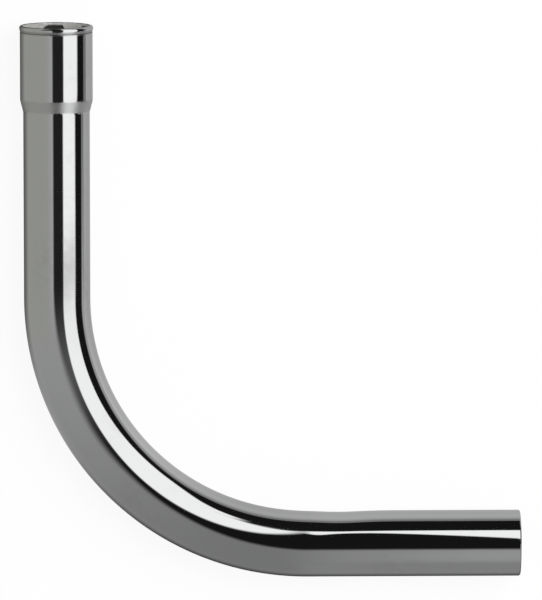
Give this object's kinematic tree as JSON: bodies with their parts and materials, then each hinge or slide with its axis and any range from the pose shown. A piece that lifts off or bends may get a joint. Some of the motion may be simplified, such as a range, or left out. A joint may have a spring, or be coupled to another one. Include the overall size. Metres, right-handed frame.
{
  "type": "flush pipe bend",
  "caption": "Chromed brass tube bent through a right angle, with an expanded socket and rim at one end and a plain spigot at the other, for joining a flush valve to a toilet bowl.",
  "frame": {"origin": "centre of the socket mouth, on the socket's axis", "axes": "+Y out of the socket along its axis, +X out of the spigot along its axis, +Z square to the plane of the bend; the bend lies flat, on its side"},
  "size_m": [0.2115, 0.235, 0.031],
  "materials": {
    "chrome_plate": "polished chrome plate on drawn brass tube, duller inside"
  },
  "bodies": {
    "root": {"flush_pipe_bend": "chrome_plate"}
  },
  "joints": []
}
